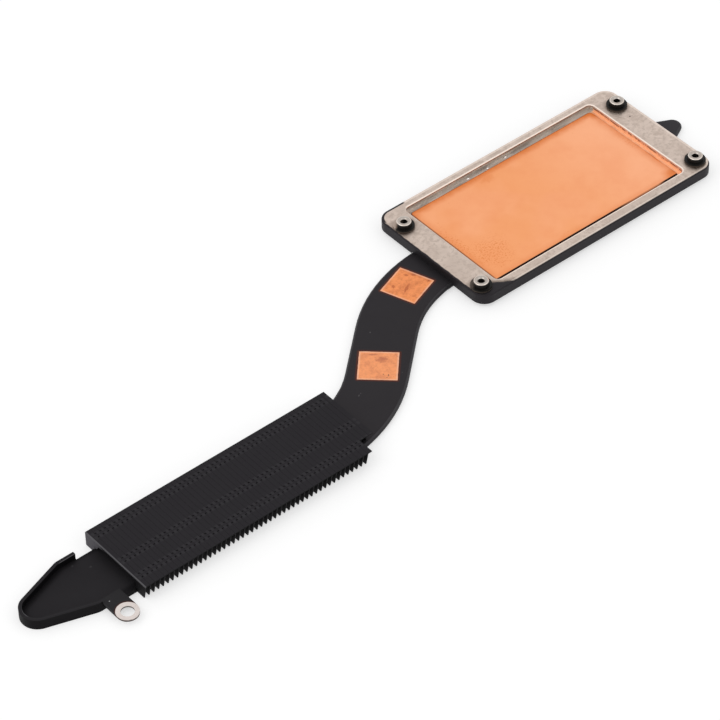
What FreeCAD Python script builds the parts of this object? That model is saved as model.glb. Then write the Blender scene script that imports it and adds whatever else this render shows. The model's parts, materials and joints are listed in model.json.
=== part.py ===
"""Laptop heatsink, lying on its back with the processor side up.

A flat heat pipe bent in an S carries a copper cold plate in a steel clamp frame near its nose, and a stack of
hooked fins near its other end, where a tail tray with a screw tab continues it.

Millimetres. The origin is the middle of the cold plate's contact face. +X runs along the heatsink to the
pipe's nose, +Z points out of the contact face. The pipe, the fins and the tray share the lowest plane.
"""
import FreeCAD, Part
import os
import re
import Sketcher

# Driving dimensions: name, value, what it measures. Angles are in degrees.
DIMENSIONS = [
    ("plate_length", 46.6, "cold plate along X"),
    ("plate_width", 25.2, "cold plate along Y"),
    ("plate_thickness", 0.6, "cold plate"),
    ("plate_corner", 0.8, "radius of the cold plate's corners"),
    ("plate_bevel", 0.1, "bevel round the contact face"),
    ("frame_end", 5.775, "clamp frame beyond each end of its window, when centred"),
    ("frame_side", 2.025, "clamp frame beyond each side of its window, when centred"),
    ("frame_x", 0.175, "middle of the clamp frame"),
    ("frame_y", -0.275, "middle of the clamp frame"),
    ("frame_thickness", 2.15, "clamp frame"),
    ("frame_corner", 2.8, "radius of the clamp frame's corners"),
    ("frame_round", 0.25, "rounding of the clamp frame's upper edge"),
    ("frame_recess", 1.06, "clamp frame's top above the contact face"),
    ("window_gap_x", 0.7, "cold plate to the window's end walls"),
    ("window_gap_y", 0.85, "cold plate to the window's side walls"),
    ("window_corner", 1.1, "radius of the window's corners"),
    ("window_round", 0.15, "rounding of the window's upper edge"),
    ("ledge_depth", 0.2, "ledge round the cold plate, below the contact face"),
    ("seat_gap", 0.1, "cold plate to the sides of its seat in the ledge"),
    ("seat_overlap", 0.6, "cold plate's seat on the frame"),
    ("post_end", 3.4, "threaded posts beyond each end of the window"),
    ("post_side", 4.375, "threaded posts inside each side of the frame, when centred"),
    ("post_middle_x", 0.13, "middle of the threaded posts"),
    ("post_middle_y", -1.53, "middle of the threaded posts"),
    ("post_height", 1.4, "threaded post above the frame"),
    ("post_diameter", 3.1, "threaded post's head"),
    ("post_chamfer", 0.2, "chamfer of the head and of its hole"),
    ("post_hole", 1.25, "tapping bore"),
    ("post_flange", 4.15, "diameter of the threaded post's flange"),
    ("post_flange_height", 0.45, "threaded post's flange"),
    ("post_spigot", 2.4, "diameter of the spigot pressed into the frame"),
    ("post_fit", 0.01, "spigot to its hole, on the radius"),
    ("pipe_width", 11.75, "flattened heat pipe"),
    ("pipe_thickness", 1.25, "flattened heat pipe"),
    ("pipe_round", 0.6, "rounding of the heat pipe's long edges"),
    ("pipe_fit", 0.1, "heat pipe to the sides of what it lies in"),
    ("pipe_plate_y", -1.25, "heat pipe's middle under the cold plate"),
    ("pipe_fin_y", -24.2, "heat pipe's middle in the fins"),
    ("bend_inset", 2.0, "start of the S-bend, inside the frame's end"),
    ("bend_radius", 29.0, "both bends of the S, on the middle line"),
    ("bend_angle", 41.8, "turn of each bend"),
    ("nose_reach", 5.085, "pipe's nose beyond the frame"),
    ("nose_shift", 0.85, "middle of the nose, behind the pipe's"),
    ("nose_radius", 1.85, "round end of the nose"),
    ("nose_angle", 27.3, "taper of each side of the nose"),
    ("nose_shoulder", 10.0, "radius where the taper starts"),
    ("stack_reach", 7.8, "how far the fins reach over the bend"),
    ("fin_pitch", 1.03, "fin to fin"),
    ("fin_sheet", 0.2, "thickness of the fins' sheet"),
    ("fin_rear_leg", 2.625, "fins behind the pipe"),
    ("fin_front_leg", 2.725, "fins in front of the pipe, at the top"),
    ("fin_lean", 0.65, "set-back of the fins' front edge at the bottom"),
    ("fin_height", 3.15, "fins from the lowest plane to the top"),
    ("fin_gap", 0.01, "fold-over to the next fin"),
    ("fin_bevel", 0.035, "bevel outside the fold"),
    ("end_slot_rise", 1.1, "extra height of the first fin's recess, over the tray's neck"),
    ("front_cutback", 3.45, "set-back of the last fins' front edge, beside the bend"),
    ("cutback_wall", 0.9, "walls of the last fins, behind the front of their fold-over"),
    ("hook_width", 0.8, "tongue that hooks into the next fin"),
    ("hook_length", 0.32, "tongue beyond the next fin's outer face"),
    ("hook_play", 0.17, "window beyond each side of the tongue"),
    ("hook_end_play", 0.03, "window beyond the tongue's end"),
    ("hook_rear", 0.113, "rear row of tongues, as a share of the fins' depth"),
    ("hook_middle", 0.558, "middle row of tongues, likewise"),
    ("hook_front", 0.835, "front row of tongues, likewise"),
    ("pipe_end_fins", 3.5, "end of the pipe inside the stack, in fin pitches"),
    ("tray_length", 15.55, "tail tray, without its neck"),
    ("tray_shift", 0.6, "middle of the tail tray, behind the pipe's"),
    ("tray_tip_radius", 3.4, "round end of the tail tray"),
    ("tray_width", 12.75, "tail tray at its widest"),
    ("tray_taper", 18.6, "taper of each side of the tail tray"),
    ("tray_shoulder", 2.5, "radius where the tray's taper starts"),
    ("tray_setback", 3.85, "open neck between the tray and the first fin"),
    ("tray_floor", 0.9, "thickness of the tray's floor"),
    ("tray_height", 2.15, "tray's rim from the lowest plane"),
    ("tray_rim", 0.65, "thickness of the tray's rim"),
    ("neck_width", 12.3, "tray's neck outside the fins"),
    ("neck_step", 0.03, "where the neck narrows, before the first fin"),
    ("neck_fit", 0.02, "neck to the sides of the fins' recess"),
    ("tab_setback", 0.8, "middle of the screw tab, from the end of the tray"),
    ("tab_width", 4.25, "screw tab"),
    ("tab_thickness", 0.4, "screw tab"),
    ("tab_reach", 9.65, "screw hole from the pipe's middle line"),
    ("tab_hole", 2.5, "diameter of the screw hole"),
    ("tab_seat", 1.25, "screw tab's overlap on the tray's floor"),
    ("tab_gap", 0.15, "screw tab to the end of the tray's rim"),
]
FIN_COUNT = 52
CUT_BACK_FINS = 3      # fins at the bend whose front leg is cut away
HOOK_ROWS = ["hook_rear", "hook_middle", "hook_front"]
TOUCH = 1e-5           # how near a corner counts as being in a plane

# Levels and places that several pieces share, as expressions of the dimensions.
BASE = "-(plate_thickness + pipe_thickness)"
PIPE_TOP = "-plate_thickness"
FRAME_BOTTOM = "(frame_recess - frame_thickness)"
FIN_TOP = f"({BASE} + fin_height)"
TRAY_FLOOR = f"({BASE} + tray_floor)"
HALF_PIPE = "pipe_width / 2"
WINDOW_LENGTH = "(plate_length + 2 * window_gap_x)"
WINDOW_WIDTH = "(plate_width + 2 * window_gap_y)"
FRAME_LENGTH = f"({WINDOW_LENGTH} + 2 * frame_end)"
FRAME_WIDTH = f"({WINDOW_WIDTH} + 2 * frame_side)"
POST_SPAN_X = f"({WINDOW_LENGTH} + 2 * post_end)"
POST_SPAN_Y = f"({FRAME_WIDTH} - 2 * post_side)"
FRAME_LEFT_X = f"(frame_x - {FRAME_LENGTH} / 2)"
NOSE_TIP_X = f"(frame_x + {FRAME_LENGTH} / 2 + nose_reach)"
NOSE_Y = "(pipe_plate_y + nose_shift)"
BEND_DROP = "(pipe_plate_y - pipe_fin_y - 2 * bend_radius * (1 - cos(bend_angle * 1 deg)))"
BEND_START_X = f"({FRAME_LEFT_X} + bend_inset)"
BEND_RUN = f"(2 * bend_radius * sin(bend_angle * 1 deg) + {BEND_DROP} / tan(bend_angle * 1 deg))"
BEND_END_X = f"({BEND_START_X} - {BEND_RUN})"
STACK_LEFT_X = f"({BEND_END_X} + stack_reach - {FIN_COUNT} * fin_pitch)"
PIPE_END_X = f"({STACK_LEFT_X} + pipe_end_fins * fin_pitch)"
FIN_REAR_Y = f"(pipe_fin_y + {HALF_PIPE} + pipe_fit + fin_rear_leg)"
FIN_DEPTH = "(pipe_width + 2 * pipe_fit + fin_rear_leg + fin_front_leg)"
TRAY_Y = "(pipe_fin_y + tray_shift)"
TRAY_END_X = f"({STACK_LEFT_X} - tray_setback)"
TRAY_TIP_X = f"({TRAY_END_X} - tray_length)"
TAB_X = f"({TRAY_END_X} - tab_setback)"
TAB_HOLE_Y = "(pipe_fin_y - tab_reach)"
TAB_SEAT_Y = f"({TRAY_Y} - tray_width / 2 + tab_seat)"

NAMES = {name for name, value, note in DIMENSIONS}
WORD = re.compile(r"[a-z_]+")

document = FreeCAD.newDocument("heatsink")
sheet = document.addObject("Spreadsheet::Sheet", "dims")
for row, (name, value, note) in enumerate(DIMENSIONS, 1):
    sheet.set(f"A{row}", name)
    sheet.set(f"B{row}", str(value))
    sheet.setAlias(f"B{row}", name)
    sheet.set(f"C{row}", note)
document.recompute()


def cells(text):
    """An expression with each dimension's name pointed at its cell."""
    return WORD.sub(lambda word: f"dims.{word[0]}" if word[0] in NAMES else word[0], text)


def number(text):
    """What an expression is worth now."""
    return float(sheet.evalExpression(cells(text)))


def bind(item, target, text):
    """Ties a property of an object to an expression."""
    item.setExpression(target, cells(text))


def new_body(label):
    body = document.addObject("PartDesign::Body", label)
    body.Label = label
    return body


def new_sketch(body, name, plane, height):
    """An empty sketch on one of the body's own planes, raised along that plane's normal."""
    sketch = body.newObject("Sketcher::SketchObject", f"{body.Name}_{name}")
    origin_plane = next(item for item in body.Origin.OriginFeatures if item.Role == plane)
    sketch.AttachmentSupport = [(origin_plane, "")]
    sketch.MapMode = "FlatFace"
    bind(sketch, "AttachmentOffset.Base.z", height)
    return sketch


def hold(sketch, held):
    """Keeps coordinates of a sketch's points at expressions. An entry: axis, geometry, point, expression."""
    first = sketch.ConstraintCount
    kinds = {"x": "DistanceX", "y": "DistanceY"}
    sketch.addConstraint([
        Sketcher.Constraint(kinds[axis], -1, 1, geometry, place, number(text))
        for axis, geometry, place, text in held
    ])
    for index, (axis, geometry, place, text) in enumerate(held, first):
        bind(sketch, f"Constraints[{index}]", text)


def draw(sketch, corners):
    """A closed outline. A corner is (x, y), or (x, y, centre x, centre y, turn) where the side that leaves it
    is an arc about that centre, with turn 1 anticlockwise and -1 clockwise."""
    points = [FreeCAD.Vector(number(corner[0]), number(corner[1]), 0) for corner in corners]
    first = sketch.GeometryCount
    ends = []
    for index, corner in enumerate(corners):
        start = points[index]
        stop = points[(index + 1) % len(points)]
        if len(corner) == 2:
            sketch.addGeometry(Part.LineSegment(start, stop), False)
            ends.append((1, 2))
            continue
        centre = FreeCAD.Vector(number(corner[2]), number(corner[3]), 0)
        low, high = (start, stop) if corner[4] > 0 else (stop, start)
        circle = Part.Circle(centre, FreeCAD.Vector(0, 0, 1), (start - centre).Length)
        sketch.addGeometry(Part.ArcOfCircle(circle, circle.parameter(low), circle.parameter(high)), False)
        ends.append((1, 2) if corner[4] > 0 else (2, 1))
    joins = []
    held = []
    for index, corner in enumerate(corners):
        side = first + index
        following = (index + 1) % len(corners)
        leaving, arriving = ends[index][1], ends[following][0]
        joins.append(Sketcher.Constraint("Coincident", side, leaving, first + following, arriving))
        held += [("x", side, ends[index][0], corner[0]), ("y", side, ends[index][0], corner[1])]
        if len(corner) > 2:
            chord = points[following] - points[index]
            upright = abs(chord.y) > abs(chord.x)
            held.append(("x", side, 3, corner[2]) if upright else ("y", side, 3, corner[3]))
    sketch.addConstraint(joins)
    hold(sketch, held)


def draw_circle(sketch, x, y, diameter):
    """A full circle whose middle and diameter follow expressions."""
    middle = FreeCAD.Vector(number(x), number(y), 0)
    geometry = sketch.addGeometry(Part.Circle(middle, FreeCAD.Vector(0, 0, 1), number(diameter) / 2), False)
    hold(sketch, [("x", geometry, 3, x), ("y", geometry, 3, y)])
    index = sketch.addConstraint(Sketcher.Constraint("Diameter", geometry, number(diameter)))
    bind(sketch, f"Constraints[{index}]", diameter)


def rounded_rectangle(length, width, radius, middle_x="0", middle_y="0"):
    """Corners of a rectangle with round corners about a middle."""
    x_far, y_far = f"(({length}) / 2)", f"(({width}) / 2)"
    x_near, y_near = f"({x_far} - {radius})", f"({y_far} - {radius})"
    left, right = f"({middle_x}) - {x_far}", f"({middle_x}) + {x_far}"
    near_left, near_right = f"({middle_x}) - {x_near}", f"({middle_x}) + {x_near}"
    low, high = f"({middle_y}) - {y_far}", f"({middle_y}) + {y_far}"
    near_low, near_high = f"({middle_y}) - {y_near}", f"({middle_y}) + {y_near}"
    return [
        (near_left, low),
        (near_right, low, near_right, near_low, 1),
        (right, near_low),
        (right, near_high, near_right, near_high, 1),
        (near_right, high),
        (near_left, high, near_left, near_high, 1),
        (left, near_high),
        (left, near_low, near_left, near_low, 1),
    ]


def pad(body, sketch, length):
    """Raises a sketch along its plane's normal."""
    feature = body.newObject("PartDesign::Pad", f"{sketch.Name}_pad")
    feature.Profile = sketch
    bind(feature, "Length", length)
    document.recompute([body])
    return feature


def pocket(body, sketch, depth, upwards=False):
    """Cuts a sketch out of the body, against its plane's normal or along it."""
    before = body.Shape.Volume
    feature = body.newObject("PartDesign::Pocket", f"{sketch.Name}_pocket")
    feature.Profile = sketch
    feature.Reversed = upwards
    bind(feature, "Length", depth)
    document.recompute([body])
    if body.Shape.Volume >= before:
        raise RuntimeError(f"{feature.Name} cuts nothing")
    return feature


def soften(body, kind, feature, size, wanted):
    """Rounds or bevels those edges of a feature that pass the test."""
    edges = [f"Edge{index}" for index, edge in enumerate(feature.Shape.Edges, 1) if wanted(edge)]
    softened = body.newObject(f"PartDesign::{kind}", f"{feature.Name}_{kind.lower()}")
    softened.Base = (feature, edges)
    bind(softened, "Radius" if kind == "Fillet" else "Size", size)
    document.recompute([body])
    return softened


def lies_at(edge, axis, text):
    """Whether an edge lies in the plane where one coordinate is worth an expression."""
    place = number(text)
    return all(abs(getattr(vertex.Point, axis) - place) < TOUCH for vertex in edge.Vertexes)


def bend_point(bend, side, turned):
    """A point of one of the pipe's long edges, side 1 at the rear and -1 at the front, at the end of a bend
    on the straight run or, turned, at its other end on the slanted run."""
    angle = "bend_angle * 1 deg"
    if bend == "plate":
        radius = f"(bend_radius + {side} * {HALF_PIPE})"
        centre = (BEND_START_X, "(pipe_plate_y - bend_radius)")
        slanted = (f"{centre[0]} - {radius} * sin({angle})", f"{centre[1]} + {radius} * cos({angle})")
        straight = (centre[0], f"{centre[1]} + {radius}")
    else:
        radius = f"(bend_radius - {side} * {HALF_PIPE})"
        centre = (BEND_END_X, "(pipe_fin_y + bend_radius)")
        slanted = (f"{centre[0]} + {radius} * sin({angle})", f"{centre[1]} - {radius} * cos({angle})")
        straight = (centre[0], f"{centre[1]} - {radius}")
    return (slanted if turned else straight), centre


def nose_corners(side):
    """One side of the nose, from its shoulder to the round end: shoulder arc, taper, tangent point. The
    channel that the nose lies in has its own corners, a fit wider."""
    angle = "nose_angle * 1 deg"
    tip = f"({NOSE_TIP_X} - nose_radius)"
    touch_x = f"({tip} + nose_radius * sin({angle}))"
    touch_y = f"nose_radius * cos({angle})"
    kink = f"({touch_x} - ({HALF_PIPE} - {side} * nose_shift - {touch_y}) / tan({angle}))"
    reach = f"(nose_shoulder * tan({angle} / 2))"
    fit = f"pipe_fit / cos({angle})"
    wide = f"({HALF_PIPE} + pipe_fit - {side} * nose_shift)"
    beyond = f"({touch_y} + {fit} - ({NOSE_TIP_X} - {touch_x}) * tan({angle}))"
    return {
        "start": (f"{kink} - {reach}", f"pipe_plate_y + {side} * {HALF_PIPE}"),
        "centre": (f"{kink} - {reach}", f"pipe_plate_y + {side} * ({HALF_PIPE} - nose_shoulder)"),
        "stop": (f"{kink} + {reach} * cos({angle})",
                 f"pipe_plate_y + {side} * ({HALF_PIPE} - {reach} * sin({angle}))"),
        "touch": (touch_x, f"{NOSE_Y} + {side} * {touch_y}"),
        "tip": (tip, NOSE_Y),
        "channel_kink": (f"{touch_x} - ({wide} - {touch_y} - {fit}) / tan({angle})",
                         f"pipe_plate_y + {side} * ({HALF_PIPE} + pipe_fit)"),
        "channel_end": (NOSE_TIP_X, f"{NOSE_Y} + {side} * {beyond}"),
    }


def make_heat_pipe():
    """The flattened pipe: its plan, raised to its thickness, with its long edges and nose rounded."""
    body = new_body("heat_pipe")
    rear_nose, front_nose = nose_corners(1), nose_corners(-1)
    rear_fin, fin_centre = bend_point("fin", 1, False)
    rear_plate, plate_centre = bend_point("plate", 1, False)
    outline = [
        (PIPE_END_X, f"pipe_fin_y - {HALF_PIPE}"),
        (*bend_point("fin", -1, False)[0], *fin_centre, 1),
        bend_point("fin", -1, True)[0],
        (*bend_point("plate", -1, True)[0], *plate_centre, -1),
        bend_point("plate", -1, False)[0],
        (*front_nose["start"], *front_nose["centre"], 1),
        front_nose["stop"],
        (*front_nose["touch"], *front_nose["tip"], 1),
        rear_nose["touch"],
        (*rear_nose["stop"], *rear_nose["centre"], 1),
        rear_nose["start"],
        (*rear_plate, *plate_centre, 1),
        bend_point("plate", 1, True)[0],
        (*bend_point("fin", 1, True)[0], *fin_centre, -1),
        rear_fin,
        (PIPE_END_X, f"pipe_fin_y + {HALF_PIPE}"),
    ]
    plan = new_sketch(body, "plan", "XY_Plane", BASE)
    draw(plan, outline)
    slab = pad(body, plan, "pipe_thickness")

    def long_edge(edge):
        flat = lies_at(edge, "z", PIPE_TOP) or lies_at(edge, "z", BASE)
        return flat and not lies_at(edge, "x", PIPE_END_X)

    soften(body, "Fillet", slab, "pipe_round", long_edge)
    return body


def make_cold_plate():
    """The copper sheet that touches the processor, with a fine bevel round its face."""
    body = new_body("cold_plate")
    plan = new_sketch(body, "plan", "XY_Plane", PIPE_TOP)
    draw(plan, rounded_rectangle("plate_length", "plate_width", "plate_corner"))
    slab = pad(body, plan, "plate_thickness")
    soften(body, "Chamfer", slab, "plate_bevel", lambda edge: lies_at(edge, "z", "0"))
    return body


def post_places():
    """Middles of the four threaded posts."""
    return [
        (f"post_middle_x + {x} * {POST_SPAN_X} / 2", f"post_middle_y + {y} * {POST_SPAN_Y} / 2")
        for y in (-1, 1) for x in (-1, 1)
    ]


def make_clamp_frame():
    """The steel frame: a window down to a ledge, a seat for the cold plate in the ledge, an opening inside
    the seat, a channel for the pipe across the underside, and the holes of the posts."""
    body = new_body("clamp_frame")
    plan = new_sketch(body, "plan", "XY_Plane", FRAME_BOTTOM)
    draw(plan, rounded_rectangle(FRAME_LENGTH, FRAME_WIDTH, "frame_corner", "frame_x", "frame_y"))
    slab = pad(body, plan, "frame_thickness")
    soften(body, "Fillet", slab, "frame_round", lambda edge: lies_at(edge, "z", "frame_recess"))

    window = new_sketch(body, "window", "XY_Plane", "frame_recess")
    draw(window, rounded_rectangle(WINDOW_LENGTH, WINDOW_WIDTH, "window_corner"))
    sunk = pocket(body, window, "frame_recess + ledge_depth")
    reach_x, reach_y = number(WINDOW_LENGTH) / 2 + TOUCH, number(WINDOW_WIDTH) / 2 + TOUCH

    def window_edge(edge):
        inside = all(abs(vertex.X) < reach_x and abs(vertex.Y) < reach_y for vertex in edge.Vertexes)
        return inside and lies_at(edge, "z", "frame_recess")

    soften(body, "Fillet", sunk, "window_round", window_edge)

    seat = new_sketch(body, "seat", "XY_Plane", "-ledge_depth")
    size = ("plate_length + 2 * seat_gap", "plate_width + 2 * seat_gap")
    draw(seat, rounded_rectangle(*size, "(plate_corner + seat_gap)"))
    pocket(body, seat, "plate_thickness - ledge_depth")

    opening = new_sketch(body, "opening", "XY_Plane", "frame_recess")
    size = ("plate_length - 2 * seat_overlap", "plate_width - 2 * seat_overlap")
    draw(opening, rounded_rectangle(*size, "window_corner"))
    pocket(body, opening, "frame_thickness")

    channel = new_sketch(body, "channel", "XY_Plane", FRAME_BOTTOM)
    rear_nose, front_nose = nose_corners(1), nose_corners(-1)
    draw(channel, [
        (f"-{FRAME_LENGTH}", front_nose["channel_kink"][1]),
        front_nose["channel_kink"],
        front_nose["channel_end"],
        rear_nose["channel_end"],
        rear_nose["channel_kink"],
        (f"-{FRAME_LENGTH}", rear_nose["channel_kink"][1]),
    ])
    pocket(body, channel, f"{PIPE_TOP} - {FRAME_BOTTOM}", upwards=True)

    holes = new_sketch(body, "holes", "XY_Plane", "frame_recess")
    for x, y in post_places():
        draw_circle(holes, x, y, "post_spigot + 2 * post_fit")
    pocket(body, holes, "frame_thickness")
    return body


def make_threaded_posts():
    """Four turned posts in one group: head with a chamfered bore, flange on the frame, spigot in its hole."""
    head, bore, flange = "post_diameter / 2", "post_hole / 2", "post_flange / 2"
    top = "(frame_recess + post_height)"
    shoulder = "(frame_recess + post_flange_height)"
    profile = [
        (bore, FRAME_BOTTOM),
        ("post_spigot / 2", FRAME_BOTTOM),
        ("post_spigot / 2", "frame_recess"),
        (flange, "frame_recess"),
        (flange, shoulder),
        (head, shoulder),
        (head, f"{top} - post_chamfer"),
        (f"{head} - post_chamfer", top),
        (f"{bore} + post_chamfer", top),
        (bore, f"{top} - post_chamfer"),
    ]
    posts = []
    for index, (x, y) in enumerate(post_places(), 1):
        body = new_body(f"threaded_post_{index}")
        section = new_sketch(body, "section", "XZ_Plane", "0")
        draw(section, profile)
        turned = body.newObject("PartDesign::Revolution", f"{body.Name}_turned")
        turned.Profile = section
        turned.ReferenceAxis = (section, ["V_Axis"])
        turned.Angle = 360
        bind(body, "Placement.Base.x", x)
        bind(body, "Placement.Base.y", y)
        posts.append(body)
    group = document.addObject("Part::Compound", "threaded_posts")
    group.Links = posts
    group.Label = "threaded_posts"
    return group


def recess_edge(fin_x, side):
    """Where a fin's recess meets the pipe's side, side 1 at the rear and -1 at the front. It follows the bend
    where that reaches into the stack."""
    into_bend = f"max(0; {fin_x} - {BEND_END_X})"
    radius = f"(bend_radius - {side} * {HALF_PIPE})"
    return f"(pipe_fin_y + bend_radius - sqrt({radius} ^ 2 - ({into_bend}) ^ 2) + {side} * pipe_fit)"


def is_cut_back(index):
    """Whether a fin is one of the last, whose front leg is cut away beside the bend."""
    return index >= FIN_COUNT - CUT_BACK_FINS


def hook_rows(index):
    """Rows of windows that a fin has for the tongues of the fin before it. The fins at both ends of the stack
    are plain, and the front row is missing where the front leg is."""
    if not 0 < index < FIN_COUNT - 1:
        return []
    return HOOK_ROWS[:-1] if is_cut_back(index) else HOOK_ROWS


def fold_over_outline(index, front):
    """Plan of a fin's fold-over: windows in its folded edge, and tongues on its free edge that reach into the
    next fin's windows."""
    free = "(fin_pitch - fin_gap)"
    tongue = "(fin_pitch + hook_length)"
    window = "(hook_length + hook_end_play)"
    corners = [("0", front), (free, front)]
    for row in reversed(hook_rows(index + 1)):
        low = f"{FIN_REAR_Y} - {row} * {FIN_DEPTH} - hook_width / 2"
        high = f"{FIN_REAR_Y} - {row} * {FIN_DEPTH} + hook_width / 2"
        corners += [(free, low), (tongue, low), (tongue, high), (free, high)]
    corners += [(free, FIN_REAR_Y), ("0", FIN_REAR_Y)]
    for row in hook_rows(index):
        low = f"{FIN_REAR_Y} - {row} * {FIN_DEPTH} - hook_width / 2 - hook_play"
        high = f"{FIN_REAR_Y} - {row} * {FIN_DEPTH} + hook_width / 2 + hook_play"
        corners += [("0", high), (window, high), (window, low), ("0", low)]
    return corners


def make_fin(index):
    """One folded fin: an upright wall with the pipe's recess, and a fold-over along its top."""
    body = new_body(f"fin_{index + 1:02d}")
    bind(body, "Placement.Base.x", f"{STACK_LEFT_X} + {index} * fin_pitch")
    fin_x = f"({STACK_LEFT_X} + {index} * fin_pitch + fin_sheet)"
    roof = f"{PIPE_TOP} + end_slot_rise" if index == 0 else PIPE_TOP
    ceiling = f"{FIN_TOP} - fin_sheet"
    front = f"({FIN_REAR_Y} - {FIN_DEPTH})"
    rear_leg = [
        (FIN_REAR_Y, ceiling),
        (FIN_REAR_Y, BASE),
        (recess_edge(fin_x, 1), BASE),
        (recess_edge(fin_x, 1), roof),
    ]
    if is_cut_back(index):
        front = f"{front} + front_cutback"
        front_leg = [(f"{front} + cutback_wall", roof), (f"{front} + cutback_wall", ceiling)]
    else:
        front_leg = [
            (recess_edge(fin_x, -1), roof),
            (recess_edge(fin_x, -1), BASE),
            (f"{front} + fin_lean", BASE),
            (front, ceiling),
        ]
    wall = new_sketch(body, "wall", "YZ_Plane", "0")
    draw(wall, rear_leg[::-1] + front_leg[::-1])
    pad(body, wall, "fin_sheet")
    fold = new_sketch(body, "fold", "XY_Plane", ceiling)
    draw(fold, fold_over_outline(index, front))
    folded = pad(body, fold, "fin_sheet")

    def fold_edge(edge):
        return lies_at(edge, "x", "0") and lies_at(edge, "z", FIN_TOP)

    soften(body, "Chamfer", folded, "fin_bevel", fold_edge)
    return body


def tray_side(side, inset):
    """One side of the tray's outline, drawn in by an inset: its shoulder arc and the end of its taper."""
    angle = "tray_taper * 1 deg"
    tip = f"({TRAY_TIP_X} + tray_tip_radius)"
    touch_x = f"({tip} - tray_tip_radius * sin({angle}))"
    touch_y = f"(tray_tip_radius * cos({angle}))"
    kink = f"({touch_x} + (tray_width / 2 - {touch_y}) / tan({angle}))"
    start = f"({kink} + tray_shoulder * tan({angle} / 2))"
    middle = "(tray_width / 2 - tray_shoulder)"
    radius = f"(tray_shoulder - {inset})"
    end_radius = f"(tray_tip_radius - {inset})"
    return {
        "start": (start, f"{TRAY_Y} + {side} * (tray_width / 2 - {inset})"),
        "centre": (start, f"{TRAY_Y} + {side} * {middle}"),
        "stop": (f"{start} - {radius} * sin({angle})",
                 f"{TRAY_Y} + {side} * ({middle} + {radius} * cos({angle}))"),
        "touch": (f"{tip} - {end_radius} * sin({angle})", f"{TRAY_Y} + {side} * {end_radius} * cos({angle})"),
        "tip": (tip, TRAY_Y),
    }


def make_tail_tray():
    """The tray behind the pipe's end: a floor with a neck that lies in the fins' recess, and an upright rim
    round it that leaves a way out for the screw tab."""
    body = new_body("tail_tray")
    rear, front = tray_side(1, "0"), tray_side(-1, "0")
    rear_inner, front_inner = tray_side(1, "tray_rim"), tray_side(-1, "tray_rim")
    inside = f"({HALF_PIPE} + pipe_fit - neck_fit)"
    step = f"({STACK_LEFT_X} - neck_step)"
    plan = new_sketch(body, "floor", "XY_Plane", BASE)
    draw(plan, [
        (PIPE_END_X, f"pipe_fin_y - {inside}"),
        (PIPE_END_X, f"pipe_fin_y + {inside}"),
        (step, f"pipe_fin_y + {inside}"),
        (step, "pipe_fin_y + neck_width / 2"),
        (TRAY_END_X, "pipe_fin_y + neck_width / 2"),
        (TRAY_END_X, f"{TRAY_Y} + tray_width / 2"),
        (*rear["start"], *rear["centre"], 1),
        rear["stop"],
        (*rear["touch"], *rear["tip"], 1),
        front["touch"],
        (*front["stop"], *front["centre"], 1),
        front["start"],
        (TRAY_END_X, f"{TRAY_Y} - tray_width / 2"),
        (TRAY_END_X, "pipe_fin_y - neck_width / 2"),
        (step, "pipe_fin_y - neck_width / 2"),
        (step, f"pipe_fin_y - {inside}"),
    ])
    pad(body, plan, "tray_floor")
    rim = new_sketch(body, "rim", "XY_Plane", TRAY_FLOOR)
    draw(rim, [
        (TRAY_END_X, f"{TRAY_Y} + tray_width / 2"),
        (*rear["start"], *rear["centre"], 1),
        rear["stop"],
        (*rear["touch"], *rear["tip"], 1),
        front["touch"],
        (*front["stop"], *front["centre"], 1),
        front["start"],
        (TRAY_END_X, f"{TRAY_Y} - tray_width / 2"),
        (TRAY_END_X, f"{TRAY_Y} - tray_width / 2 + tray_rim"),
        (*front_inner["start"], *front_inner["centre"], -1),
        front_inner["stop"],
        (*front_inner["touch"], *front_inner["tip"], -1),
        rear_inner["touch"],
        (*rear_inner["stop"], *rear_inner["centre"], -1),
        rear_inner["start"],
        (TRAY_END_X, f"{TRAY_Y} + tray_width / 2 - tray_rim"),
    ])
    pad(body, rim, "tray_height - tray_floor")

    rim_end = f"{TAB_X} - tab_width / 2 - tab_gap"
    way = new_sketch(body, "tab_way", "XY_Plane", f"{BASE} + tray_height")
    draw(way, [
        (rim_end, f"{TRAY_Y} - tray_width"),
        (STACK_LEFT_X, f"{TRAY_Y} - tray_width"),
        (STACK_LEFT_X, TAB_SEAT_Y),
        (rim_end, TAB_SEAT_Y),
    ])
    pocket(body, way, "tray_height - tray_floor")
    return body


def make_screw_tab():
    """The strip on the tray's floor, with a round end about its screw hole."""
    body = new_body("screw_tab")
    left, right = f"{TAB_X} - tab_width / 2", f"{TAB_X} + tab_width / 2"
    plan = new_sketch(body, "plan", "XY_Plane", TRAY_FLOOR)
    draw(plan, [
        (left, TAB_HOLE_Y, TAB_X, TAB_HOLE_Y, 1),
        (right, TAB_HOLE_Y),
        (right, TAB_SEAT_Y),
        (left, TAB_SEAT_Y),
    ])
    pad(body, plan, "tab_thickness")
    hole = new_sketch(body, "hole", "XY_Plane", f"{TRAY_FLOOR} + tab_thickness")
    draw_circle(hole, TAB_X, TAB_HOLE_Y, "tab_hole")
    pocket(body, hole, "tab_thickness")
    return body


pieces = [make_heat_pipe(), make_cold_plate(), make_clamp_frame(), make_threaded_posts()]
pieces += [make_fin(index) for index in range(FIN_COUNT)]
pieces += [make_tail_tray(), make_screw_tab()]
document.recompute()

for item in document.Objects:
    if "Invalid" in item.State or "Error" in item.State:
        raise RuntimeError(f"{item.Label} failed: {item.State}")
for piece in pieces:
    if piece.Shape.isNull() or not piece.Shape.isValid():
        raise RuntimeError(f"{piece.Label} has no valid shape")

os.makedirs("parts", exist_ok=True)
for piece in pieces:
    piece.Shape.exportStep(f"parts/{piece.Label}.step")
print(f"{len(pieces)} pieces, bends end at X = {number(BEND_END_X):.2f} mm")
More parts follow.
